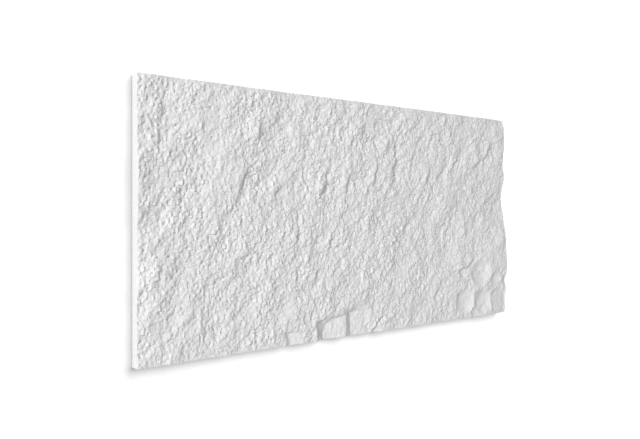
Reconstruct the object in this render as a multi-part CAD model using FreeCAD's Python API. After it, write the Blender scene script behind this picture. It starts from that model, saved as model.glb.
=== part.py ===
"""A gypsum wall panel, cast in one piece, with a broken rock face.

The panel lies on its flat back. X runs along its length, Y up its height as it hangs,
and Z out of its face. The origin is the middle of the back. All sizes are in millimetres.

The back was struck off flat and the four edges are square, so that panels butt together.
The face is one rolling surface: broad swells and waves, shallow chips about 46 mm apart,
and short ledges where slabs of the rock broke away. Near the lower right corner round
flakes were knocked out of it, which left bowls with sharp rims, and along the middle of
the lower edge it broke in flat faces.
"""

import FreeCAD, Part
import math
import os
from collections import namedtuple

from FreeCAD import Vector

# The cast block
PANEL_LENGTH = 1200.0
PANEL_HEIGHT = 600.0
FACE_LEVEL = 26.3  # usual thickness, from the back to the middle of the relief
ARRIS = 0.8  # the worn corner line round the back

# The lattice of control points that carries the face
LATTICE_STEP = 16.0
LATTICE_MARGIN = 30.0  # how far the face runs on past each edge before it is trimmed
CLEAR_ABOVE = 60.0  # height of the block that is cut down to the face

# Waves that roll over the whole face: length, direction of travel, height, start
Wave = namedtuple("Wave", "length heading height start")
WAVES = (
    Wave(length=310.0, heading=20.0, height=1.0, start=40.0),
    Wave(length=190.0, heading=75.0, height=0.9, start=200.0),
    Wave(length=128.0, heading=-35.0, height=0.8, start=110.0),
    Wave(length=92.0, heading=-12.0, height=0.7, start=310.0),
    Wave(length=71.0, heading=-58.0, height=0.6, start=15.0),
)

# Swells and hollows: place, half length along their own line, half width, turn, rise
Swell = namedtuple("Swell", "x y along across turn rise")
SWELLS_FROM_LEFT = (
    Swell(x=0.0, y=390.0, along=85.0, across=38.0, turn=90.0, rise=4.5),
    Swell(x=40.0, y=130.0, along=110.0, across=26.0, turn=90.0, rise=2.5),
    Swell(x=190.0, y=330.0, along=150.0, across=60.0, turn=58.0, rise=2.5),
    Swell(x=330.0, y=420.0, along=130.0, across=50.0, turn=70.0, rise=-2.5),
    Swell(x=520.0, y=90.0, along=120.0, across=70.0, turn=10.0, rise=3.5),
    Swell(x=560.0, y=440.0, along=150.0, across=60.0, turn=15.0, rise=2.0),
)
SWELLS_FROM_RIGHT = (
    Swell(x=0.0, y=545.0, along=38.0, across=60.0, turn=90.0, rise=3.0),
    Swell(x=0.0, y=465.0, along=34.0, across=50.0, turn=90.0, rise=-4.5),
    Swell(x=0.0, y=345.0, along=54.0, across=75.0, turn=90.0, rise=-9.0),
    Swell(x=0.0, y=600.0, along=16.0, across=50.0, turn=90.0, rise=-5.0),
    Swell(x=0.0, y=425.0, along=22.0, across=45.0, turn=90.0, rise=5.0),
    Swell(x=10.0, y=160.0, along=92.0, across=150.0, turn=90.0, rise=15.5),
    Swell(x=190.0, y=560.0, along=90.0, across=45.0, turn=0.0, rise=2.5),
    Swell(x=300.0, y=250.0, along=170.0, across=80.0, turn=-10.0, rise=-2.5),
    Swell(x=250.0, y=70.0, along=120.0, across=60.0, turn=15.0, rise=3.0),
    Swell(x=80.0, y=30.0, along=90.0, across=45.0, turn=0.0, rise=10.0),
)

# Ledges: middle of the line, half its length, its turn, and the fall towards its right.
# The fall happens within the width, and the face recovers over the reach on each side.
Ledge = namedtuple("Ledge", "x y half turn fall width reach")
LEDGES_FROM_LEFT = (
    Ledge(x=291.0, y=508.0, half=26.0, turn=77.0, fall=8.0, width=6.0, reach=26.0),
    Ledge(x=246.0, y=386.0, half=42.0, turn=73.0, fall=9.0, width=7.0, reach=34.0),
    Ledge(x=218.0, y=325.0, half=28.0, turn=55.0, fall=5.0, width=6.0, reach=24.0),
    Ledge(x=343.0, y=368.0, half=20.0, turn=60.0, fall=8.0, width=7.0, reach=24.0),
    Ledge(x=480.0, y=383.0, half=30.0, turn=68.0, fall=8.0, width=6.0, reach=26.0),
    Ledge(x=557.0, y=385.0, half=26.0, turn=76.0, fall=7.5, width=6.0, reach=24.0),
    Ledge(x=583.0, y=382.0, half=13.0, turn=110.0, fall=5.0, width=5.0, reach=14.0),
    Ledge(x=570.0, y=491.0, half=16.0, turn=46.0, fall=5.0, width=5.0, reach=16.0),
    Ledge(x=577.0, y=547.0, half=22.0, turn=122.0, fall=3.5, width=5.0, reach=16.0),
    Ledge(x=398.0, y=305.0, half=24.0, turn=95.0, fall=3.5, width=6.0, reach=18.0),
    Ledge(x=400.0, y=258.0, half=14.0, turn=80.0, fall=6.0, width=5.0, reach=16.0),
    Ledge(x=397.0, y=160.0, half=18.0, turn=85.0, fall=6.0, width=6.0, reach=18.0),
    Ledge(x=502.0, y=237.0, half=24.0, turn=68.0, fall=8.0, width=6.0, reach=22.0),
    Ledge(x=53.0, y=535.0, half=22.0, turn=85.0, fall=5.0, width=6.0, reach=20.0),
    Ledge(x=44.0, y=469.0, half=18.0, turn=80.0, fall=5.0, width=6.0, reach=18.0),
    Ledge(x=125.0, y=560.0, half=12.0, turn=55.0, fall=4.5, width=5.0, reach=14.0),
    Ledge(x=47.0, y=315.0, half=24.0, turn=60.0, fall=4.0, width=7.0, reach=20.0),
    Ledge(x=45.0, y=200.0, half=28.0, turn=70.0, fall=4.0, width=6.0, reach=18.0),
    Ledge(x=112.0, y=82.0, half=20.0, turn=32.0, fall=6.0, width=6.0, reach=20.0),
    Ledge(x=75.0, y=55.0, half=12.0, turn=60.0, fall=5.0, width=6.0, reach=16.0),
    Ledge(x=225.0, y=85.0, half=14.0, turn=60.0, fall=4.5, width=6.0, reach=16.0),
    Ledge(x=230.0, y=205.0, half=12.0, turn=40.0, fall=3.5, width=5.0, reach=14.0),
    Ledge(x=322.0, y=212.0, half=12.0, turn=50.0, fall=4.0, width=5.0, reach=14.0),
    Ledge(x=337.0, y=137.0, half=10.0, turn=60.0, fall=4.5, width=5.0, reach=14.0),
)
LEDGES_FROM_RIGHT = (
    Ledge(x=550.0, y=415.0, half=28.0, turn=62.0, fall=6.5, width=6.0, reach=24.0),
    Ledge(x=476.0, y=445.0, half=50.0, turn=88.0, fall=9.0, width=6.0, reach=28.0),
    Ledge(x=380.0, y=412.0, half=12.0, turn=90.0, fall=5.0, width=5.0, reach=14.0),
    Ledge(x=352.0, y=408.0, half=28.0, turn=60.0, fall=7.0, width=6.0, reach=22.0),
    Ledge(x=290.0, y=427.0, half=30.0, turn=52.0, fall=7.5, width=6.0, reach=22.0),
    Ledge(x=234.0, y=455.0, half=34.0, turn=52.0, fall=7.5, width=6.0, reach=22.0),
    Ledge(x=82.0, y=498.0, half=30.0, turn=60.0, fall=9.5, width=6.0, reach=30.0),
    Ledge(x=123.0, y=462.0, half=26.0, turn=28.0, fall=7.0, width=6.0, reach=24.0),
    Ledge(x=125.0, y=495.0, half=24.0, turn=76.0, fall=4.0, width=5.0, reach=18.0),
    Ledge(x=357.0, y=100.0, half=18.0, turn=36.0, fall=4.5, width=5.0, reach=16.0),
    Ledge(x=307.0, y=87.0, half=20.0, turn=42.0, fall=4.0, width=5.0, reach=14.0),
    Ledge(x=185.0, y=160.0, half=40.0, turn=18.0, fall=9.0, width=4.0, reach=24.0),
    Ledge(x=48.0, y=140.0, half=26.0, turn=130.0, fall=5.0, width=5.0, reach=18.0),
    Ledge(x=490.0, y=30.0, half=24.0, turn=25.0, fall=4.0, width=4.0, reach=14.0),
)

# Broad chips: each square of a turned and stretched grid has a bowl of its own
CHIP_SIZE = 46.0
CHIP_HEIGHT = 3.0
CHIP_TURN = 52.0
CHIP_STRETCH = 1.3
CHIP_LEAN = 1.1  # how far the bowls lean, and how they differ in depth, in squares
CHIP_DEPTH = 0.45
CHIP_MEAN = 0.38  # what the lowest bowl comes to on average, in squares

# The draw of a square is what is left over of a very large sine
DRAW_TURNS = (12.9898, 78.233, 37.719)
DRAW_START = 21.0
DRAW_GAIN = 43758.5453

# Bowls that flakes left: place of the lowest point, its height above the back, ball radius
Bowl = namedtuple("Bowl", "x y floor ball")
BOWLS_FROM_LEFT = (
    Bowl(x=598.0, y=42.0, floor=21.0, ball=110.0),
)
BOWLS_FROM_RIGHT = (
    Bowl(x=128.0, y=130.0, floor=25.8, ball=110.0),
    Bowl(x=196.0, y=50.0, floor=21.5, ball=90.0),
    Bowl(x=116.0, y=42.0, floor=25.3, ball=100.0),
    Bowl(x=54.0, y=105.0, floor=30.5, ball=48.0),
    Bowl(x=-2.0, y=100.0, floor=29.5, ball=36.0),
    Bowl(x=144.0, y=8.0, floor=26.0, ball=36.0),
    Bowl(x=550.0, y=-6.0, floor=22.5, ball=60.0),
)

# Flat breaks at the lower edge: foot of the left wall, height of the floor there, slopes of
# wall and floor, and the top line with its lean
Break = namedtuple("Break", "foot floor wall rise top lean")
BREAKS_FROM_LEFT = (
    Break(foot=376.0, floor=21.0, wall=0.6, rise=0.20, top=26.0, lean=0.1),
    Break(foot=479.0, floor=16.0, wall=0.42, rise=0.17, top=38.0, lean=0.26),
    Break(foot=568.0, floor=19.5, wall=0.55, rise=0.12, top=58.0, lean=0.1),
)
CLOSING_WALL = 1.0  # slope of the wall above the top line
BREAK_REACH = 150.0  # how far a break can run to each side of its foot, and up the face

# The scar with a level floor: place, radius and height of the floor, slope of the wall
LEVEL_SCAR_FROM_RIGHT = (35.0, 40.0)
LEVEL_SCAR_RADIUS = 34.0
LEVEL_SCAR_FLOOR = 30.3
LEVEL_SCAR_WALL = 0.7


def place_from_left(x, y):
    return x - PANEL_LENGTH / 2, y - PANEL_HEIGHT / 2


def place_from_right(x, y):
    return PANEL_LENGTH / 2 - x, y - PANEL_HEIGHT / 2


def placed(from_left, from_right):
    """Each item with its place counted from the origin."""
    left = [(item, *place_from_left(item.x, item.y)) for item in from_left]
    right = [(item, *place_from_right(item.x, item.y)) for item in from_right]
    return left + right


def along_and_left(east, north, turn):
    """A place counted along a turned line and to the left of it."""
    angle = math.radians(turn)
    along = east * math.cos(angle) + north * math.sin(angle)
    left = north * math.cos(angle) - east * math.sin(angle)
    return along, left


def wave_rise(wave, x, y):
    """One travelling sine wave."""
    heading = math.radians(wave.heading)
    travel = x * math.cos(heading) + y * math.sin(heading)
    return wave.height * math.sin(2 * math.pi * travel / wave.length + math.radians(wave.start))


def swell_rise(swell, east, north):
    """A rounded hill, or a hollow where the rise is below nought."""
    along, left = along_and_left(east, north, swell.turn)
    return swell.rise * math.exp(-((along / swell.along) ** 2) - (left / swell.across) ** 2)


def ledge_rise(ledge, east, north):
    """The face stands up on the left of the line, drops across it and recovers."""
    along, left = along_and_left(east, north, ledge.turn)
    fade = math.exp(-((along / ledge.half) ** 2) - (left / ledge.reach) ** 2)
    return 0.5 * ledge.fall * math.tanh(left / ledge.width) * fade


def draw(column, row, number):
    """A number from 0 to 1 that looks random, the same each time for one square."""
    turn = DRAW_START + sum(a * b for a, b in zip(DRAW_TURNS, (column, row, number)))
    return math.sin(turn) * DRAW_GAIN % 1.0


def chip_rise(x, y):
    """The lowest of the leaning bowls of the nine squares round a place."""
    along, across = along_and_left(x, y, CHIP_TURN)
    u, v = along / CHIP_STRETCH / CHIP_SIZE, across / CHIP_SIZE
    bowls = []
    for column in range(math.floor(u) - 1, math.floor(u) + 2):
        for row in range(math.floor(v) - 1, math.floor(v) + 2):
            east = u - column - draw(column, row, 0)
            north = v - row - draw(column, row, 1)
            lean = (draw(column, row, 2) - 0.5) * east + (draw(column, row, 3) - 0.5) * north
            depth = CHIP_DEPTH * draw(column, row, 4)
            bowls.append(east * east + north * north + CHIP_LEAN * lean + depth)
    return CHIP_HEIGHT * (min(bowls) - CHIP_MEAN)


SWELLS = placed(SWELLS_FROM_LEFT, SWELLS_FROM_RIGHT)
LEDGES = placed(LEDGES_FROM_LEFT, LEDGES_FROM_RIGHT)
BOWLS = placed(BOWLS_FROM_LEFT, BOWLS_FROM_RIGHT)


def face_height(x, y):
    """Height of the unbroken face above the back, at one place."""
    height = FACE_LEVEL + chip_rise(x, y)
    height += sum(wave_rise(wave, x, y) for wave in WAVES)
    height += sum(swell_rise(swell, x - cx, y - cy) for swell, cx, cy in SWELLS)
    height += sum(ledge_rise(ledge, x - cx, y - cy) for ledge, cx, cy in LEDGES)
    return height


def lattice(length):
    """Evenly spaced stations along one side, past both ends by the margin."""
    half = length / 2 + LATTICE_MARGIN
    steps = math.ceil(2 * half / LATTICE_STEP)
    return [-half + 2 * half * i / steps for i in range(steps + 1)]


def even_knots(count, degree):
    """Knots of a clamped, evenly spaced spline, with how often each one counts."""
    spans = count - degree
    knots = [float(i) for i in range(spans + 1)]
    counts = [degree + 1] + [1] * (spans - 1) + [degree + 1]
    return knots, counts


def rock_surface():
    """The rolling face as one cubic surface over the lattice of control points."""
    degree = 3
    stations_x, stations_y = lattice(PANEL_LENGTH), lattice(PANEL_HEIGHT)
    poles = [[Vector(x, y, face_height(x, y)) for y in stations_y] for x in stations_x]
    knots_x, counts_x = even_knots(len(stations_x), degree)
    knots_y, counts_y = even_knots(len(stations_y), degree)
    surface = Part.BSplineSurface()
    surface.buildFromPolesMultsKnots(
        poles, counts_x, counts_y, knots_x, knots_y, False, False, degree, degree
    )
    return surface


def square_block():
    """The block before its face is cut, with the arris worn round the back."""
    corner = Vector(-PANEL_LENGTH / 2, -PANEL_HEIGHT / 2, 0)
    block = Part.makeBox(PANEL_LENGTH, PANEL_HEIGHT, CLEAR_ABOVE, corner)
    back_edges = [e for e in block.Edges if e.BoundBox.ZMax < 1e-6]
    return block.makeChamfer(ARRIS, back_edges)


def above_face():
    """Everything over the rolling face, to be cut away."""
    sheet = rock_surface().toShape()
    return sheet.extrude(Vector(0, 0, 2 * CLEAR_ABOVE))


def bowl_cut(bowl, x, y):
    """The ball whose lowest point is the floor of a bowl."""
    return Part.makeSphere(bowl.ball, Vector(x, y, bowl.floor + bowl.ball))


def under_plane(height_at, foot, edge):
    """Everything under one sloping plane, as far as a break can reach."""
    west, east = foot - BREAK_REACH, foot + BREAK_REACH
    south, north = edge - BREAK_REACH, edge + BREAK_REACH
    corners = [(west, south), (east, south), (east, north), (west, north), (west, south)]
    outline = Part.makePolygon([Vector(x, y, height_at(x, y)) for x, y in corners])
    return Part.Face(outline).extrude(Vector(0, 0, -2 * BREAK_REACH))


def break_cut(flat):
    """The room over the left wall, the floor and the wall above the top line of a break."""
    foot, edge = place_from_left(flat.foot, 0.0)

    def left_wall(x, y):
        return flat.floor - flat.wall * (x - foot)

    def floor(x, y):
        return flat.floor + flat.rise * (x - foot)

    def top_wall(x, y):
        return floor(x, y) + CLOSING_WALL * (y - edge - flat.top - flat.lean * (x - foot))

    corner = Vector(foot - BREAK_REACH, edge - BREAK_REACH, 0)
    room = Part.makeBox(2 * BREAK_REACH, 2 * BREAK_REACH, CLEAR_ABOVE, corner)
    for plane in (left_wall, floor, top_wall):
        room = room.cut(under_plane(plane, foot, edge))
    return room


def level_scar_cut():
    """A cone that opens upwards from the level floor."""
    x, y = place_from_right(*LEVEL_SCAR_FROM_RIGHT)
    climb = CLEAR_ABOVE - LEVEL_SCAR_FLOOR
    top_radius = LEVEL_SCAR_RADIUS + climb / LEVEL_SCAR_WALL
    return Part.makeCone(LEVEL_SCAR_RADIUS, top_radius, climb, Vector(x, y, LEVEL_SCAR_FLOOR))


def rock_panel():
    panel = square_block().cut(above_face())
    for bowl, x, y in BOWLS:
        panel = panel.cut(bowl_cut(bowl, x, y))
    for flat in BREAKS_FROM_LEFT:
        panel = panel.cut(break_cut(flat))
    return panel.cut(level_scar_cut())


def main():
    os.makedirs("parts", exist_ok=True)
    panel = rock_panel()
    solid = panel.Solids[0]
    solid.exportStep("parts/rock_panel.step")
    spots, _ = solid.tessellate(0.3)
    low = [min(spot[axis] for spot in spots) for axis in range(3)]
    high = [max(spot[axis] for spot in spots) for axis in range(3)]
    print("solids", len(panel.Solids), "valid", solid.isValid(), "faces", len(solid.Faces))
    print("size", " x ".join("%.2f" % (top - base) for base, top in zip(low, high)))
    print("lowest %.3f, litres %.3f" % (low[2], solid.Volume / 1e6))


main()
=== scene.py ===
# %% [markdown]
# # A gypsum wall panel with a broken rock face
#
# The panel is 1200 x 600 mm and is cast in one piece: white gypsum is poured into a rubber mould
# that was taken from split rock. Its back and four edges are plain and square, and its face is
# everything: long ledges, round flake scars, and small sharp chips all over.
#
# This lesson works the face out as one height field with numpy, closes it into a solid mesh,
# gives it a matte plaster finish, and lights it from one side so that the relief shows.

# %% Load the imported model
import math
from collections import namedtuple

import bpy
import numpy as np
from mathutils import Matrix, Vector


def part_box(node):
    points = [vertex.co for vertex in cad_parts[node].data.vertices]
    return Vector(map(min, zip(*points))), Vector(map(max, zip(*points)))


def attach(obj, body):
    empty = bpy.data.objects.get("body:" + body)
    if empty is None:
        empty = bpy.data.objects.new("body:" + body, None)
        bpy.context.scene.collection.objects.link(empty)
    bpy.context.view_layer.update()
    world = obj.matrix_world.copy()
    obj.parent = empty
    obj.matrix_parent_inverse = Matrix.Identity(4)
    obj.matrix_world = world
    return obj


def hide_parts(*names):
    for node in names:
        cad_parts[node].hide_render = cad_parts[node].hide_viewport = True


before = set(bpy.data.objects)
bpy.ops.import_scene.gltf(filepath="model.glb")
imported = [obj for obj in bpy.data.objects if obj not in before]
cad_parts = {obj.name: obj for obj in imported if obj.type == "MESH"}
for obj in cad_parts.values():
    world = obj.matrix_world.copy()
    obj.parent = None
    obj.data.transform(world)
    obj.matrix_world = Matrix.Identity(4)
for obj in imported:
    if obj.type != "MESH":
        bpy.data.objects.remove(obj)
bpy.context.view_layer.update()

MM = 0.001
panel_low, panel_high = (np.array(corner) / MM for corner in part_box("rock_panel"))
PANEL_LENGTH, PANEL_HEIGHT = panel_high[:2] - panel_low[:2]
HIGHEST_CREST = panel_high[2]
print("panel %.0f x %.0f mm, crests up to %.1f mm" % (PANEL_LENGTH, PANEL_HEIGHT, HIGHEST_CREST))

# %% [markdown]
# ## Camera
#
# The photograph was taken with the panel on a wall, from in front of its left end. Here the panel
# lies on its back, so the camera looks down on it from the same place relative to the face.
# The place, the turn and the lens come from fitting the panel's four corners in the photograph.
# The level line of the view runs a little above the middle of the picture, which is what a small
# vertical shift of the lens does.

# %% Camera
CAMERA_PLACE = (-1.1264, 0.0268, 1.3011)
CAMERA_TURN = math.radians(37.97)  # from straight down, towards the panel's right end
FOCAL_PX = 658.0
FRAME_WIDTH_PX = 640
LEVEL_LINE_PX = 11.8  # how far the level line lies above the middle of the picture


def look_matrix(place, turn):
    """Camera axes in the panel's frame: sight leans from -Z towards +X by the turn, +Y is up."""
    sight = Vector((math.sin(turn), 0, -math.cos(turn)))
    up = Vector((0, 1, 0))
    right = sight.cross(up)
    turned = Matrix((right, up, -sight)).transposed().to_4x4()
    return Matrix.Translation(place) @ turned


camera = bpy.data.objects.new("camera", bpy.data.cameras.new("camera"))
bpy.context.collection.objects.link(camera)
camera.matrix_world = look_matrix(CAMERA_PLACE, CAMERA_TURN)
camera.data.sensor_width = 36.0
camera.data.lens = camera.data.sensor_width * FOCAL_PX / FRAME_WIDTH_PX
camera.data.shift_y = -LEVEL_LINE_PX / FRAME_WIDTH_PX
bpy.context.scene.camera = camera
print("lens %.2f mm" % camera.data.lens)

# %% [markdown]
# ## The grid
#
# A face that never folds over itself is a height field: one height for each place on a flat grid.
# The whole face is worked out as arrays of places x and y, in millimetres from the panel's middle.
# Cells of 2.5 by 3 mm keep the finished piece just under 200,000 triangles.

# %% Grid over the face
CELLS_LONG, CELLS_HIGH = 478, 200
line_x = np.linspace(-PANEL_LENGTH / 2, PANEL_LENGTH / 2, CELLS_LONG + 1)
line_y = np.linspace(-PANEL_HEIGHT / 2, PANEL_HEIGHT / 2, CELLS_HIGH + 1)
grid_x, grid_y = np.meshgrid(line_x, line_y)
CELL_LONG, CELL_HIGH = line_x[1] - line_x[0], line_y[1] - line_y[0]
print("grid cell %.2f x %.2f mm" % (CELL_LONG, CELL_HIGH))

# %% [markdown]
# ## Rolling ground of the face
#
# Split rock rolls before it breaks up. Broad waves and rounded swells carry the thickness from
# 17 to 40 mm. They are the same forms, with the same numbers, as the panel's solid model has,
# because the fine relief that follows is only cut into that ground.

# %% Waves and swells
FACE_LEVEL = 26.3

Wave = namedtuple("Wave", "length heading height start")
WAVES = (
    Wave(length=310.0, heading=20.0, height=1.0, start=40.0),
    Wave(length=190.0, heading=75.0, height=0.9, start=200.0),
    Wave(length=128.0, heading=-35.0, height=0.8, start=110.0),
    Wave(length=92.0, heading=-12.0, height=0.7, start=310.0),
    Wave(length=71.0, heading=-58.0, height=0.6, start=15.0),
)

# Places are counted from the panel's lower left corner
Swell = namedtuple("Swell", "x y along across turn rise")
SWELLS = (
    Swell(x=0, y=390, along=85, across=38, turn=90, rise=4.5),
    Swell(x=40, y=130, along=110, across=26, turn=90, rise=2.5),
    Swell(x=190, y=330, along=150, across=60, turn=58, rise=2.5),
    Swell(x=330, y=420, along=130, across=50, turn=70, rise=-2.5),
    Swell(x=520, y=90, along=120, across=70, turn=10, rise=3.5),
    Swell(x=560, y=440, along=150, across=60, turn=15, rise=2.0),
    Swell(x=1200, y=545, along=38, across=60, turn=90, rise=3.0),
    Swell(x=1200, y=465, along=34, across=50, turn=90, rise=-4.5),
    Swell(x=1200, y=345, along=54, across=75, turn=90, rise=-9.0),
    Swell(x=1200, y=600, along=16, across=50, turn=90, rise=-5.0),
    Swell(x=1200, y=425, along=22, across=45, turn=90, rise=5.0),
    Swell(x=1190, y=160, along=92, across=150, turn=90, rise=15.5),
    Swell(x=1010, y=560, along=90, across=45, turn=0, rise=2.5),
    Swell(x=900, y=250, along=170, across=80, turn=-10, rise=-2.5),
    Swell(x=950, y=70, along=120, across=60, turn=15, rise=3.0),
    Swell(x=1120, y=30, along=90, across=45, turn=0, rise=10.0),
)


def wave_rise(x, y, wave):
    """Height times the sine of the way travelled along the heading, in wave lengths."""
    heading = math.radians(wave.heading)
    travel = x * math.cos(heading) + y * math.sin(heading)
    return wave.height * np.sin(2 * np.pi * travel / wave.length + math.radians(wave.start))


def swell_rise(x, y, swell):
    """Rise times e to the minus squared distance, counted in half lengths and half widths."""
    turn = math.radians(swell.turn)
    east = x + PANEL_LENGTH / 2 - swell.x
    north = y + PANEL_HEIGHT / 2 - swell.y
    along = (east * math.cos(turn) + north * math.sin(turn)) / swell.along
    across = (north * math.cos(turn) - east * math.sin(turn)) / swell.across
    return swell.rise * np.exp(-(along**2 + across**2))


# %% [markdown]
# ## Random numbers by formula
#
# Chips, ragged lines and rough patches all need numbers that look random and are the same each
# run. One formula gives them: the fraction that is left of a very large sine. It needs only the
# column and row of a lattice square, so any program can draw the same rock from it.

# %% Draws for lattice squares
COLUMN_TURN, ROW_TURN, NUMBER_TURN = 12.9898, 78.233, 37.719
DRAW_GAIN = 43758.5453


def draw(column, row, number, seed):
    """The fraction, from 0 to 1, of the gain times the sine of the seed plus column, row and
    number, each times its turn."""
    phase = COLUMN_TURN * column + ROW_TURN * row + NUMBER_TURN * number + seed
    return np.sin(phase) * DRAW_GAIN % 1.0


def turned(x, y, degrees, stretch):
    """Places turned so that the first axis runs along the grain, then squeezed along it."""
    angle = math.radians(degrees)
    along = (x * math.cos(angle) + y * math.sin(angle)) / stretch
    across = y * math.cos(angle) - x * math.sin(angle)
    return along, across


# %% [markdown]
# ## Broad chips
#
# A blow on rock takes off a chip and leaves a shallow bowl, and where two bowls meet there is a
# sharp ridge. So a layer of chips is the lowest of many leaning bowls, one for each square of a
# jittered lattice. The broadest layer, 46 mm from chip to chip, belongs to the ground too.

# %% Chips
CHIP_LEAN = 1.1  # how far the bowls lean
CHIP_DEPTH = 0.45  # how much they differ in depth, in lattice squares
CHIP_MEAN = 0.38  # what the lowest bowl comes to on average, in lattice squares
GRAIN_TURN = 52.0  # the way the rock split, counted from the panel's length


def chip_bowls(x, y, size, seed):
    """The lowest, over the nine squares round a place, of squared distance to a random centre
    plus a random lean times the way from it, plus a random depth, all in lattice squares."""
    u, v = x / size, y / size
    column, row = np.floor(u), np.floor(v)
    lowest = np.full_like(u, np.inf)
    for dc in (-1, 0, 1):
        for dr in (-1, 0, 1):
            c, r = column + dc, row + dr
            east = u - c - draw(c, r, 0, seed)
            north = v - r - draw(c, r, 1, seed)
            tilt = (draw(c, r, 2, seed) - 0.5) * east + (draw(c, r, 3, seed) - 0.5) * north
            depth = CHIP_DEPTH * draw(c, r, 4, seed)
            lowest = np.minimum(lowest, east**2 + north**2 + CHIP_LEAN * tilt + depth)
    return lowest


BROAD_CHIP = 46.0
BROAD_CHIP_HEIGHT = 3.0
along, across = turned(grid_x, grid_y, GRAIN_TURN, 1.3)
broad_chips = BROAD_CHIP_HEIGHT * (chip_bowls(along, across, BROAD_CHIP, 21.0) - CHIP_MEAN)
print("broad chips from %.1f to %.1f mm" % (broad_chips.min(), broad_chips.max()))


# %% [markdown]
# ## Rolling noise
#
# What has no sharp ridges comes from gradient noise: each corner of a square lattice has a random
# slope, and the four slopes round a place are blended, so it rolls smoothly with no fixed period.

# %% Rolling noise
def rolling_noise(x, y, size, seed):
    """Gradient noise: at each of four corners the dot product of a random slope and the way to
    the corner, blended with the quintic 6t^5 - 15t^4 + 10t^3. Runs from about -1 to 1."""
    u, v = x / size, y / size
    column, row = np.floor(u), np.floor(v)
    across, up = u - column, v - row
    blend_u = across**3 * (across * (across * 6 - 15) + 10)
    blend_v = up**3 * (up * (up * 6 - 15) + 10)
    total = np.zeros_like(u)
    for dc in (0, 1):
        for dr in (0, 1):
            angle = 2 * np.pi * draw(column + dc, row + dr, 0, seed)
            slope = np.cos(angle) * (across - dc) + np.sin(angle) * (up - dr)
            weight = (blend_u if dc else 1 - blend_u) * (blend_v if dr else 1 - blend_v)
            total += weight * slope
    return 1.5 * total


# %% [markdown]
# ## Ledges
#
# Where a slab of rock came away along a short line, the face drops over a few millimetres and
# climbs slowly back on both sides. The drop is an S curve across the line, and it fades out along
# the line and away from it. Most ledges step up to the right in one broken row, as the rock split.
# Their lines are ragged, because the places are pushed about by noise first. Sixteen of them fall
# 1 to 2.5 mm more than in the solid model, whose wider net rounds them off, and the one above the
# scars is drawn as two strokes here.

# %% Ledges
# Middle, half length, turn of the line, and the fall towards its right: height, width and reach
Ledge = namedtuple("Ledge", "x y half turn fall width reach")
LEDGES = (
    Ledge(x=291, y=508, half=26, turn=77, fall=8.0, width=6.0, reach=26),
    Ledge(x=246, y=386, half=42, turn=73, fall=9.0, width=7.0, reach=34),
    Ledge(x=218, y=325, half=28, turn=55, fall=5.0, width=6.0, reach=24),
    Ledge(x=343, y=368, half=20, turn=60, fall=9.5, width=7.0, reach=24),
    Ledge(x=480, y=383, half=30, turn=68, fall=9.0, width=6.0, reach=26),
    Ledge(x=557, y=385, half=26, turn=76, fall=7.5, width=6.0, reach=24),
    Ledge(x=583, y=382, half=13, turn=110, fall=6.5, width=5.0, reach=14),
    Ledge(x=650, y=415, half=28, turn=62, fall=9.0, width=6.0, reach=24),
    Ledge(x=724, y=445, half=50, turn=88, fall=9.0, width=6.0, reach=28),
    Ledge(x=820, y=412, half=12, turn=90, fall=7.0, width=5.0, reach=14),
    Ledge(x=848, y=408, half=28, turn=60, fall=7.0, width=6.0, reach=22),
    Ledge(x=910, y=427, half=30, turn=52, fall=10.0, width=6.0, reach=22),
    Ledge(x=966, y=455, half=34, turn=52, fall=10.0, width=6.0, reach=22),
    Ledge(x=1118, y=498, half=30, turn=60, fall=11.0, width=6.0, reach=30),
    Ledge(x=1077, y=462, half=26, turn=28, fall=8.5, width=6.0, reach=24),
    Ledge(x=1075, y=495, half=24, turn=76, fall=4.0, width=5.0, reach=18),
    Ledge(x=570, y=491, half=16, turn=46, fall=5.0, width=5.0, reach=16),
    Ledge(x=577, y=547, half=22, turn=122, fall=3.5, width=5.0, reach=16),
    Ledge(x=398, y=305, half=24, turn=95, fall=3.5, width=6.0, reach=18),
    Ledge(x=400, y=258, half=14, turn=80, fall=8.5, width=5.0, reach=16),
    Ledge(x=397, y=160, half=18, turn=85, fall=8.0, width=6.0, reach=18),
    Ledge(x=502, y=237, half=24, turn=68, fall=10.5, width=6.0, reach=22),
    Ledge(x=53, y=535, half=22, turn=85, fall=5.0, width=6.0, reach=20),
    Ledge(x=44, y=469, half=18, turn=80, fall=5.0, width=6.0, reach=18),
    Ledge(x=125, y=560, half=12, turn=55, fall=4.5, width=5.0, reach=14),
    Ledge(x=47, y=315, half=24, turn=60, fall=4.0, width=7.0, reach=20),
    Ledge(x=45, y=200, half=28, turn=70, fall=4.0, width=6.0, reach=18),
    Ledge(x=112, y=82, half=20, turn=32, fall=6.0, width=6.0, reach=20),
    Ledge(x=75, y=55, half=12, turn=60, fall=5.0, width=6.0, reach=16),
    Ledge(x=225, y=85, half=14, turn=60, fall=4.5, width=6.0, reach=16),
    Ledge(x=230, y=205, half=12, turn=40, fall=3.5, width=5.0, reach=14),
    Ledge(x=322, y=212, half=12, turn=50, fall=4.0, width=5.0, reach=14),
    Ledge(x=337, y=137, half=10, turn=60, fall=6.0, width=5.0, reach=14),
    Ledge(x=843, y=100, half=18, turn=36, fall=6.0, width=5.0, reach=16),
    Ledge(x=893, y=87, half=20, turn=42, fall=6.0, width=5.0, reach=14),
    Ledge(x=1000, y=148, half=20, turn=6, fall=8.0, width=5.0, reach=20),
    Ledge(x=1036, y=165, half=22, turn=36, fall=10.0, width=5.0, reach=24),
    Ledge(x=1152, y=140, half=26, turn=130, fall=5.0, width=5.0, reach=18),
    Ledge(x=710, y=30, half=24, turn=25, fall=6.0, width=4.0, reach=14),
)
CRISPNESS = 0.7  # the cast drops over this share of the width, which the solid's net can't follow


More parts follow.
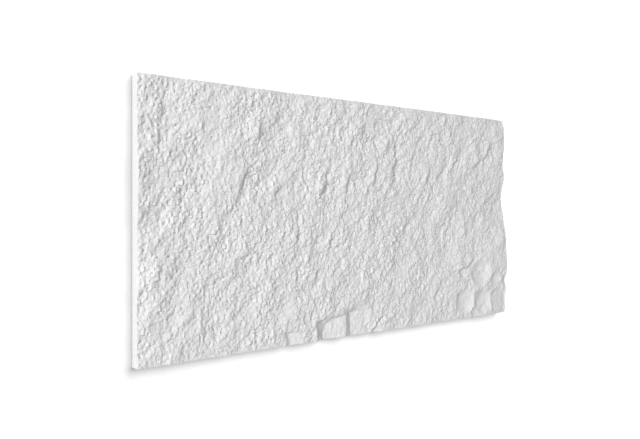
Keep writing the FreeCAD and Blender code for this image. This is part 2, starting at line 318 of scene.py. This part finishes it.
def ledge_rise(x, y, ledge):
    """Half the fall times tanh(way to the left of the line / width), faded both ways by
    e^-(distance / reach)^2 across the line and e^-(distance / half length)^2 along it."""
    turn = math.radians(ledge.turn)
    east = x + PANEL_LENGTH / 2 - ledge.x
    north = y + PANEL_HEIGHT / 2 - ledge.y
    along = (east * math.cos(turn) + north * math.sin(turn)) / ledge.half
    left = north * math.cos(turn) - east * math.sin(turn)
    fade = np.exp(-(along**2) - (left / ledge.reach) ** 2)
    return 0.5 * ledge.fall * np.tanh(left / (CRISPNESS * ledge.width)) * fade


def ragged(places, seed):
    """Places pushed by up to 4 mm of noise 26 mm wide, plus up to 1.5 mm of noise 10 mm wide."""
    wide = 4.0 * rolling_noise(grid_x, grid_y, 26, seed)
    return places + wide + 1.5 * rolling_noise(grid_x, grid_y, 10, seed + 1)


ragged_x, ragged_y = ragged(grid_x, 11), ragged(grid_y, 13)

ground = np.full_like(grid_x, FACE_LEVEL)
for wave in WAVES:
    ground += wave_rise(grid_x, grid_y, wave)
for swell in SWELLS:
    ground += swell_rise(grid_x, grid_y, swell)
for ledge in LEDGES:
    ground += ledge_rise(ragged_x, ragged_y, ledge)
ground += broad_chips
print("ground from %.1f to %.1f mm" % (ground.min(), ground.max()))

# %% [markdown]
# ## Hackle
#
# Hackle is what masons call the rough surface of split stone. It is chips down to about 13 mm, and
# below that a grain of small lumps. The bold layers run a little along one slope, the way the rock
# split. Each layer is asked for by its slope, because under side light the eye sees slope and not
# height. Crests are then pushed to the right by their own height, so each lump has a long side and
# a short steep one, and the bold layers lean more than the fine ones.

# %% Hackle
Layer = namedtuple("Layer", "size slope turn stretch seed")
CHIPS = (
    Layer(size=24.0, slope=0.075, turn=GRAIN_TURN, stretch=1.3, seed=22),
    Layer(size=13.0, slope=0.08, turn=GRAIN_TURN, stretch=1.25, seed=23),
)
LUMPS = (
    Layer(size=22.0, slope=0.08, turn=45.0, stretch=1.2, seed=51),
    Layer(size=13.0, slope=0.11, turn=35.0, stretch=1.15, seed=52),
)
GRAIN = (
    Layer(size=7.4, slope=0.16, turn=5.0, stretch=1.3, seed=53),
    Layer(size=5.2, slope=0.24, turn=0.0, stretch=1.35, seed=54),
    Layer(size=4.0, slope=0.28, turn=0.0, stretch=1.25, seed=55),
)


def with_slope(layer, slope):
    """The layer about its mean, scaled until the root mean square of its gradient is the slope."""
    rise_y, rise_x = np.gradient(layer, CELL_HIGH, CELL_LONG)
    return (layer - layer.mean()) * slope / math.sqrt((rise_x**2 + rise_y**2).mean())


def layers_at(x, y, pattern, layers):
    """The sum of the layers at the places given, each made by the pattern."""
    total = np.zeros_like(x)
    for layer in layers:
        along, across = turned(x, y, layer.turn, layer.stretch)
        total += with_slope(pattern(along, across, layer.size, layer.seed), layer.slope)
    return total


def bold_at(x, y):
    """Chips and lumps together."""
    return layers_at(x, y, chip_bowls, CHIPS) + layers_at(x, y, rolling_noise, LUMPS)


def fine_at(x, y):
    """The grain alone."""
    return layers_at(x, y, rolling_noise, GRAIN)


def leaning(relief, lean):
    """The relief read at x minus lean times its own height there."""
    return relief(grid_x - lean * relief(grid_x, grid_y), grid_y)


bold, fine = leaning(bold_at, 1.0), leaning(fine_at, 0.3)
print("bold layers up to %.1f mm, grain up to %.1f mm" % (bold.max(), fine.max()))

# %% [markdown]
# ## Flake scars and breaks
#
# Near the lower right corner whole flakes were struck off. Each scar is the inside of a ball, and
# the face there is the lower of ball and ground, which gives the sharp round rims. One of them has
# a level floor inside a round wall. Along the middle of the lower edge the rock broke in flat
# faces: a wall that drops to the right, then a floor that climbs back to the ground, and a wall
# that closes it at the top. The breaks and three of the scars are 0.8 to 2.5 mm deeper here than in
# the solid model, and the walls of the breaks end 2 to 9 mm further right, which is nearer to the
# photograph.

# %% Scars and breaks
# Place of the lowest point, its height above the back, and the radius of the ball
Bowl = namedtuple("Bowl", "x y floor ball")
BOWL_SCARS = (
    Bowl(x=1072, y=130, floor=25.0, ball=95),
    Bowl(x=1004, y=50, floor=20.5, ball=80),
    Bowl(x=1084, y=42, floor=24.3, ball=85),
    Bowl(x=1146, y=105, floor=30.5, ball=48),
    Bowl(x=1202, y=100, floor=29.5, ball=36),
    Bowl(x=1056, y=8, floor=26.0, ball=36),
    Bowl(x=598, y=42, floor=21.0, ball=110),
    Bowl(x=650, y=-6, floor=22.5, ball=60),
)
# Foot of the left wall, height of the floor there, slopes of wall and floor, top line and its lean
Break = namedtuple("Break", "foot floor wall rise top lean")
BREAKS = (
    Break(foot=378, floor=19.5, wall=0.5, rise=0.22, top=26, lean=0.1),
    Break(foot=488, floor=15.0, wall=0.42, rise=0.2, top=38, lean=0.26),
    Break(foot=573, floor=17.0, wall=0.45, rise=0.15, top=58, lean=0.1),
)
CLOSING_WALL = 1.0
# The one with a level floor: its outline, then height and slope of the wall round it
LEVEL_SCAR = (1165, 40, 34)
LEVEL_FLOOR = 30.3
LEVEL_WALL = 0.7
# Short ledges in and beside the scars, where the flakes came off in two or three steps. They are
# finer than the solid model's net, so they are only here.
STEPS = (
    Ledge(x=656, y=20, half=30, turn=50, fall=9.0, width=5.0, reach=16),
    Ledge(x=611, y=26, half=20, turn=76, fall=3.5, width=4.0, reach=10),
    Ledge(x=459, y=12, half=22, turn=88, fall=5.0, width=4.0, reach=9),
    Ledge(x=1043, y=22, half=14, turn=50, fall=4.0, width=4.0, reach=10),
    Ledge(x=1085, y=22, half=22, turn=42, fall=4.5, width=5.0, reach=12),
)


# %% Shapes of scars and breaks
def bowl_floor(x, y, scar):
    """Inside of a ball: lowest point plus radius minus sqrt(radius^2 - distance^2)."""
    east, north = x + PANEL_LENGTH / 2 - scar.x, y + PANEL_HEIGHT / 2 - scar.y
    away = np.minimum(np.hypot(east, north), scar.ball)
    return scar.floor + scar.ball - np.sqrt(scar.ball**2 - away**2)


def break_floor(x, y, flat):
    """The highest of three planes: left wall, floor, and the wall above the top line."""
    east, north = x + PANEL_LENGTH / 2 - flat.foot, y + PANEL_HEIGHT / 2
    floor = flat.floor + flat.rise * east
    above = north - flat.top - flat.lean * east
    left_wall = flat.floor - flat.wall * east
    return np.maximum(np.maximum(left_wall, floor), floor + CLOSING_WALL * above)


def level_floor(x, y):
    """A level floor, and outside its round outline a wall that climbs as fast as it goes out."""
    east, north = x + PANEL_LENGTH / 2 - LEVEL_SCAR[0], y + PANEL_HEIGHT / 2 - LEVEL_SCAR[1]
    outside = np.hypot(east, north) - LEVEL_SCAR[2]
    return LEVEL_FLOOR + LEVEL_WALL * np.maximum(outside, 0)


scars = level_floor(ragged_x, ragged_y)
for scar in BOWL_SCARS:
    scars = np.minimum(scars, bowl_floor(ragged_x, ragged_y, scar))
for flat in BREAKS:
    scars = np.minimum(scars, break_floor(ragged_x, ragged_y, flat))

# %% [markdown]
# ## The face put together
#
# The rock is rougher in some patches. To the right its bold layers grow and its grain fades, and
# along the two long rims it is calmer, as in the photograph. The scars are smoother, with less than
# half of the hackle. The face is the lower of ground and scars, and at the end the few highest
# crests are rounded off, so that all stay below the solid's highest one.

# %% Rough and calm places
PATCH_SIZE = 90.0
CHANGE_LENGTH = 120.0  # how far along the panel a change from left to right takes
RIM_WIDTH = 7.0
SCAR_CHIPS = 0.45

patches = 0.97 + 0.25 * rolling_noise(grid_x, grid_y, PATCH_SIZE, 41)
bolder = 1 + 0.2 * np.tanh((grid_x + 220) / CHANGE_LENGTH)
finer = 0.92 - 0.08 * np.tanh((grid_x - 250) / CHANGE_LENGTH)
to_rim = PANEL_HEIGHT / 2 - np.abs(grid_y)
calm = 1 - 0.55 * np.exp(-((to_rim / RIM_WIDTH) ** 2))
hackle = (bold * bolder + fine * finer) * calm

face = np.minimum(ground + hackle * patches, scars + hackle * SCAR_CHIPS)
for ledge in STEPS:
    face += ledge_rise(ragged_x, ragged_y, ledge)

# %% Highest crests
# What is above 38.5 mm comes down to room * tanh(above / room)
SOFT_FROM = 38.5
CLEARANCE = 0.05
room = HIGHEST_CREST - CLEARANCE - SOFT_FROM
above = np.maximum(face - SOFT_FROM, 0)
face = np.minimum(face, SOFT_FROM) + room * np.tanh(above / room)
print("face from %.1f to %.1f mm" % (face.min(), face.max()))
print("share of it rounded off %.3f" % (above > 0).mean())

# %% [markdown]
# ## Closing the solid
#
# The face needs its edges and back to be a real panel. The outline of the grid is one loop of
# points. It is repeated at the arris round the back and again on the back itself, and the back
# closes on its middle point. All faces point outwards.

# %% Panel mesh
ARRIS = 0.8


def outline_loop(rows, columns):
    """Grid numbers of the outer points, once round, counter-clockwise seen from the face."""
    number = np.arange(rows * columns).reshape(rows, columns)
    return np.concatenate(
        (number[0, :-1], number[:-1, -1], number[-1, :0:-1], number[:0:-1, 0])
    )


def panel_mesh(name, x, y, height):
    """Grid quads for the face, two rings of quads for edge and arris, a fan for the back."""
    rows, columns = height.shape
    top = np.stack((x, y, height), axis=-1).reshape(-1, 3)
    loop = outline_loop(rows, columns)
    edge = top[loop] * (1, 1, 0) + (0, 0, ARRIS)
    back = top[loop] * (1 - 2 * ARRIS / PANEL_LENGTH, 1 - 2 * ARRIS / PANEL_HEIGHT, 0)
    points = np.concatenate((top, edge, back, [(0, 0, 0)])) * MM
    corner = np.arange(rows * columns).reshape(rows, columns)
    round_a_cell = (corner[:-1, :-1], corner[:-1, 1:], corner[1:, 1:], corner[1:, :-1])
    quads = [np.stack(round_a_cell, -1).reshape(-1, 4)]
    count = np.arange(len(loop))
    rings = (loop, len(top) + count, len(top) + len(loop) + count)
    for upper, lower in zip(rings, rings[1:]):
        quads.append(np.stack((upper, lower, np.roll(lower, -1), np.roll(upper, -1)), -1))
    quads = np.concatenate(quads)
    fan = np.stack((rings[2], np.full(len(loop), len(points) - 1), np.roll(rings[2], -1)), -1)
    mesh = bpy.data.meshes.new(name)
    mesh.from_pydata(points.tolist(), [], quads.tolist() + fan.tolist())
    mesh.validate()
    piece = bpy.data.objects.new(name, mesh)
    bpy.context.collection.objects.link(piece)
    print(name, "triangles", 2 * len(quads) + len(fan))
    return piece


panel = panel_mesh("rock_panel_cast", grid_x, grid_y, face)
panel.data.polygons.foreach_set("use_smooth", np.ones(len(panel.data.polygons), dtype=bool))
panel.data.set_sharp_from_angle(angle=math.radians(40))
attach(panel, "root")
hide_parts("rock_panel")

# %% [markdown]
# ## Cast gypsum
#
# Dry gypsum plaster is close to white, quite matte and neutral in colour. Its skin has a fine tooth
# from the mould, and the colour wanders by a few percent. The back was struck level with a long
# rule while the plaster set, which leaves faint lines along it. Back and edges also have a few
# pinholes where air was caught, and the shade inside each is painted in as a small darker grey dot.
# One function turns hex colours to linear, and one adds a node with its settings and links.

# %% Material helpers
def linear(hex_colour):
    """sRGB hex to linear: c / 12.92 below 0.04045, else ((c + 0.055) / 1.055) to the power 2.4."""
    parts = [int(hex_colour[i : i + 2], 16) / 255 for i in (1, 3, 5)]
    bent = [c / 12.92 if c <= 0.04045 else ((c + 0.055) / 1.055) ** 2.4 for c in parts]
    return (*bent, 1.0)


def add_node(tree, kind, settings=None, **inputs):
    """One node: its settings as attributes, and each input as a value or a socket to link."""
    node = tree.nodes.new(kind)
    for key, value in (settings or {}).items():
        setattr(node, key, value)
    for key, value in inputs.items():
        place = int(key[1:]) if key[1:].isdigit() else key.replace("_", " ")
        socket = node.inputs[place]
        if isinstance(value, bpy.types.NodeSocket):
            tree.links.new(value, socket)
        else:
            socket.default_value = value
    return node


def new_material(name):
    """An empty node tree with its output node."""
    material = bpy.data.materials.new(name)
    material.use_nodes = True
    material.node_tree.nodes.clear()
    return material, material.node_tree


# %% Cast gypsum
TOOTH = 3.4 * MM  # the real tooth is nearer 1 mm, too fine for the picture
TOOTH_HEIGHT = 2.5 * MM
PINHOLE_SPACING = 14 * MM
PINHOLE_RADIUS = 0.08  # of the spacing, so about 1 mm
PINHOLE_RARITY = 0.6  # the share of places that have none
FACE_TILT = 0.05  # the object normal's Z is above this on the face, and about 0 on the edges
BACK_TILT = -0.9  # and below this on the back
RULE_LINES = (1 / (700 * MM), 1 / (9 * MM), 1.0)  # long along the panel, 9 mm apart across it


def cast_gypsum():
    """Moulded gypsum plaster, unpainted: the eye gets a bright dry white with no shine."""
    material, tree = new_material("cast_gypsum")
    coords = add_node(tree, "ShaderNodeTexCoord")
    place = coords.outputs["Object"]
    clouds = add_node(tree, "ShaderNodeTexNoise", Vector=place, Scale=1 / (120 * MM), Detail=3.0)
    colour = add_node(
        tree, "ShaderNodeMix", {"data_type": "RGBA"},
        i0=clouds.outputs["Fac"], i6=linear("#ECECEC"), i7=linear("#F0F0F0"),
    )

    facing = add_node(tree, "ShaderNodeSeparateXYZ", i0=coords.outputs["Normal"]).outputs["Z"]
    plain = add_node(tree, "ShaderNodeMath", {"operation": "LESS_THAN"}, i0=facing, i1=FACE_TILT)
    back = add_node(tree, "ShaderNodeMath", {"operation": "LESS_THAN"}, i0=facing, i1=BACK_TILT)

    cells = add_node(tree, "ShaderNodeTexVoronoi", Vector=place, Scale=1 / PINHOLE_SPACING)
    near = add_node(
        tree, "ShaderNodeMath", {"operation": "LESS_THAN"},
        i0=cells.outputs["Distance"], i1=PINHOLE_RADIUS,
    )
    some = add_node(
        tree, "ShaderNodeMath", {"operation": "GREATER_THAN"},
        i0=cells.outputs["Color"], i1=PINHOLE_RARITY,
    )
    hole = add_node(
        tree, "ShaderNodeMath", {"operation": "MULTIPLY"}, i0=near.outputs[0], i1=some.outputs[0]
    )
    painted_pinhole_shade_mask = add_node(
        tree, "ShaderNodeMath", {"operation": "MULTIPLY"}, i0=hole.outputs[0], i1=plain.outputs[0]
    )
    # Pinholes are painted a darker grey: painted shade inside each hole, which the bump doesn't
    # cut.
    colour_with_painted_pinhole_shade = add_node(
        tree, "ShaderNodeMix", {"data_type": "RGBA"},
        i0=painted_pinhole_shade_mask.outputs[0], i6=colour.outputs[2], i7=linear("#A8A7A4"),
    )

    tooth = add_node(
        tree, "ShaderNodeTexNoise", Vector=place, Scale=1 / TOOTH, Detail=3.0, Roughness=0.6
    )
    along = add_node(tree, "ShaderNodeMapping", Vector=place, Scale=RULE_LINES)
    struck = add_node(tree, "ShaderNodeTexNoise", Vector=along.outputs[0], Scale=1.0, Detail=2.0)
    relief = add_node(
        tree, "ShaderNodeMix", {"data_type": "FLOAT"},
        i0=back.outputs[0], i2=tooth.outputs["Fac"], i3=struck.outputs["Fac"],
    )
    bump = add_node(
        tree, "ShaderNodeBump", Height=relief.outputs[0], Distance=TOOTH_HEIGHT, Strength=1.0
    )
    shader = add_node(
        tree, "ShaderNodeBsdfPrincipled",
        Base_Color=colour_with_painted_pinhole_shade.outputs[2], Roughness=0.9, IOR=1.52, Normal=bump.outputs["Normal"],
    )
    add_node(tree, "ShaderNodeOutputMaterial", Surface=shader.outputs["BSDF"])
    return material


panel.data.materials.append(cast_gypsum())
print("finish", panel.data.materials[0].name)

# %% [markdown]
# ## Floor, lamps and world
#
# The floor is plain white board. What the camera sees of it is lifted a little to a clean white,
# and the panel's soft shadow stays. What the panel sees of it is dimmer, as the rest of a room is,
# so that the side strip isn't brighter than the face.
#
# The relief shows because light grazes it: one low lamp at the left gives each lump a light and a
# dark side, and an even white sky opens the shadows. The shadow on the floor needs a second lamp,
# high and broad, at the upper right. Each lamp lights only what it is there for, which also keeps
# the picture crisp: fewer lamps on a surface leave less noise to smooth away.

# %% Floor
FLOOR_DROP = 0.0002  # so that the floor and the panel's back don't lie in one plane
FLOOR_REACH = 8.0


def seen_directly(tree):
    """1 for rays from the camera, or from it by way of metal or glass, and 0 for all others."""
    ray = add_node(tree, "ShaderNodeLightPath").outputs
    mirrored = add_node(
        tree, "ShaderNodeMath", {"operation": "MAXIMUM"},
        i0=ray["Is Glossy Ray"], i1=ray["Is Transmission Ray"],
    )
    return add_node(
        tree, "ShaderNodeMath", {"operation": "MAXIMUM"},
        i0=ray["Is Camera Ray"], i1=mirrored.outputs[0],
    ).outputs[0]


def pale_floor():
    """White painted board, quite matte: bright to the camera, dimmer as light for the panel."""
    material, tree = new_material("pale_floor")
    paint = add_node(tree, "ShaderNodeBsdfDiffuse", Color=linear("#F6F6F6"))
    dim = add_node(tree, "ShaderNodeBsdfDiffuse", Color=linear("#BEBEBE"))
    lift = add_node(tree, "ShaderNodeEmission", Color=(1, 1, 1, 1), Strength=0.08)
    both = add_node(tree, "ShaderNodeAddShader", i0=paint.outputs[0], i1=lift.outputs[0])
    pick = add_node(
        tree, "ShaderNodeMixShader",
        i0=seen_directly(tree), i1=dim.outputs[0], i2=both.outputs[0],
    )
    add_node(tree, "ShaderNodeOutputMaterial", Surface=pick.outputs[0])
    return material


floor_mesh = bpy.data.meshes.new("floor")
SIGNS = ((-1, -1), (1, -1), (1, 1), (-1, 1))
corners = [(sx * FLOOR_REACH, sy * FLOOR_REACH, -FLOOR_DROP) for sx, sy in SIGNS]
floor_mesh.from_pydata(corners, [], [(0, 1, 2, 3)])
floor = bpy.data.objects.new("floor", floor_mesh)
bpy.context.collection.objects.link(floor)
floor_mesh.materials.append(pale_floor())

# %% Lamps and world
Lamp = namedtuple("Lamp", "name azimuth elevation distance width share lights")
LAMPS = (
    Lamp("main_lamp", 170.0, 30.0, distance=8.0, width=1.4, share=0.37, lights=panel),
    Lamp("floor_lamp", 54.0, 57.0, distance=9.0, width=7.5, share=0.78, lights=floor),
)


def add_lamp(lamp):
    """A round soft box towards the azimuth, counted from +X to +Y. On a level white surface its
    light is the share, for which its power is pi squared * share * distance squared / sine of
    the elevation. It lights one thing only."""
    turn, rise = math.radians(lamp.azimuth), math.radians(lamp.elevation)
    level = math.cos(rise)
    towards = Vector((math.cos(turn) * level, math.sin(turn) * level, math.sin(rise)))
    light = bpy.data.lights.new(lamp.name, "AREA")
    light.shape = "DISK"
    light.size = lamp.width
    light.energy = math.pi**2 * lamp.share * lamp.distance**2 / math.sin(rise)
    holder = bpy.data.objects.new(lamp.name, light)
    holder.location = towards * lamp.distance
    holder.rotation_euler = towards.to_track_quat("Z", "Y").to_euler()
    bpy.context.collection.objects.link(holder)
    lit = bpy.data.collections.new("lit_by_" + lamp.name)
    lit.objects.link(lamp.lights)
    holder.light_linking.receiver_collection = lit


for lamp in LAMPS:
    add_lamp(lamp)

AMBIENT = 0.45  # strength of the sky; the camera itself sees it at 1, which is white
world = bpy.data.worlds.new("studio")
bpy.context.scene.world = world
world.cycles.sampling_method = "NONE"  # an even sky needs no rays sent to its bright parts
world.use_nodes = True
world.node_tree.nodes.clear()
strength = add_node(
    world.node_tree, "ShaderNodeMapRange",
    i0=seen_directly(world.node_tree), i1=0.0, i2=1.0, i3=AMBIENT, i4=1.0,
)
sky = add_node(
    world.node_tree, "ShaderNodeBackground", Color=(1, 1, 1, 1), Strength=strength.outputs[0]
)
add_node(world.node_tree, "ShaderNodeOutputWorld", Surface=sky.outputs[0])

# %% [markdown]
# ## Colour
#
# The Standard view shows colours as they were written.

# %% Finish
bpy.context.scene.view_settings.view_transform = "Standard"
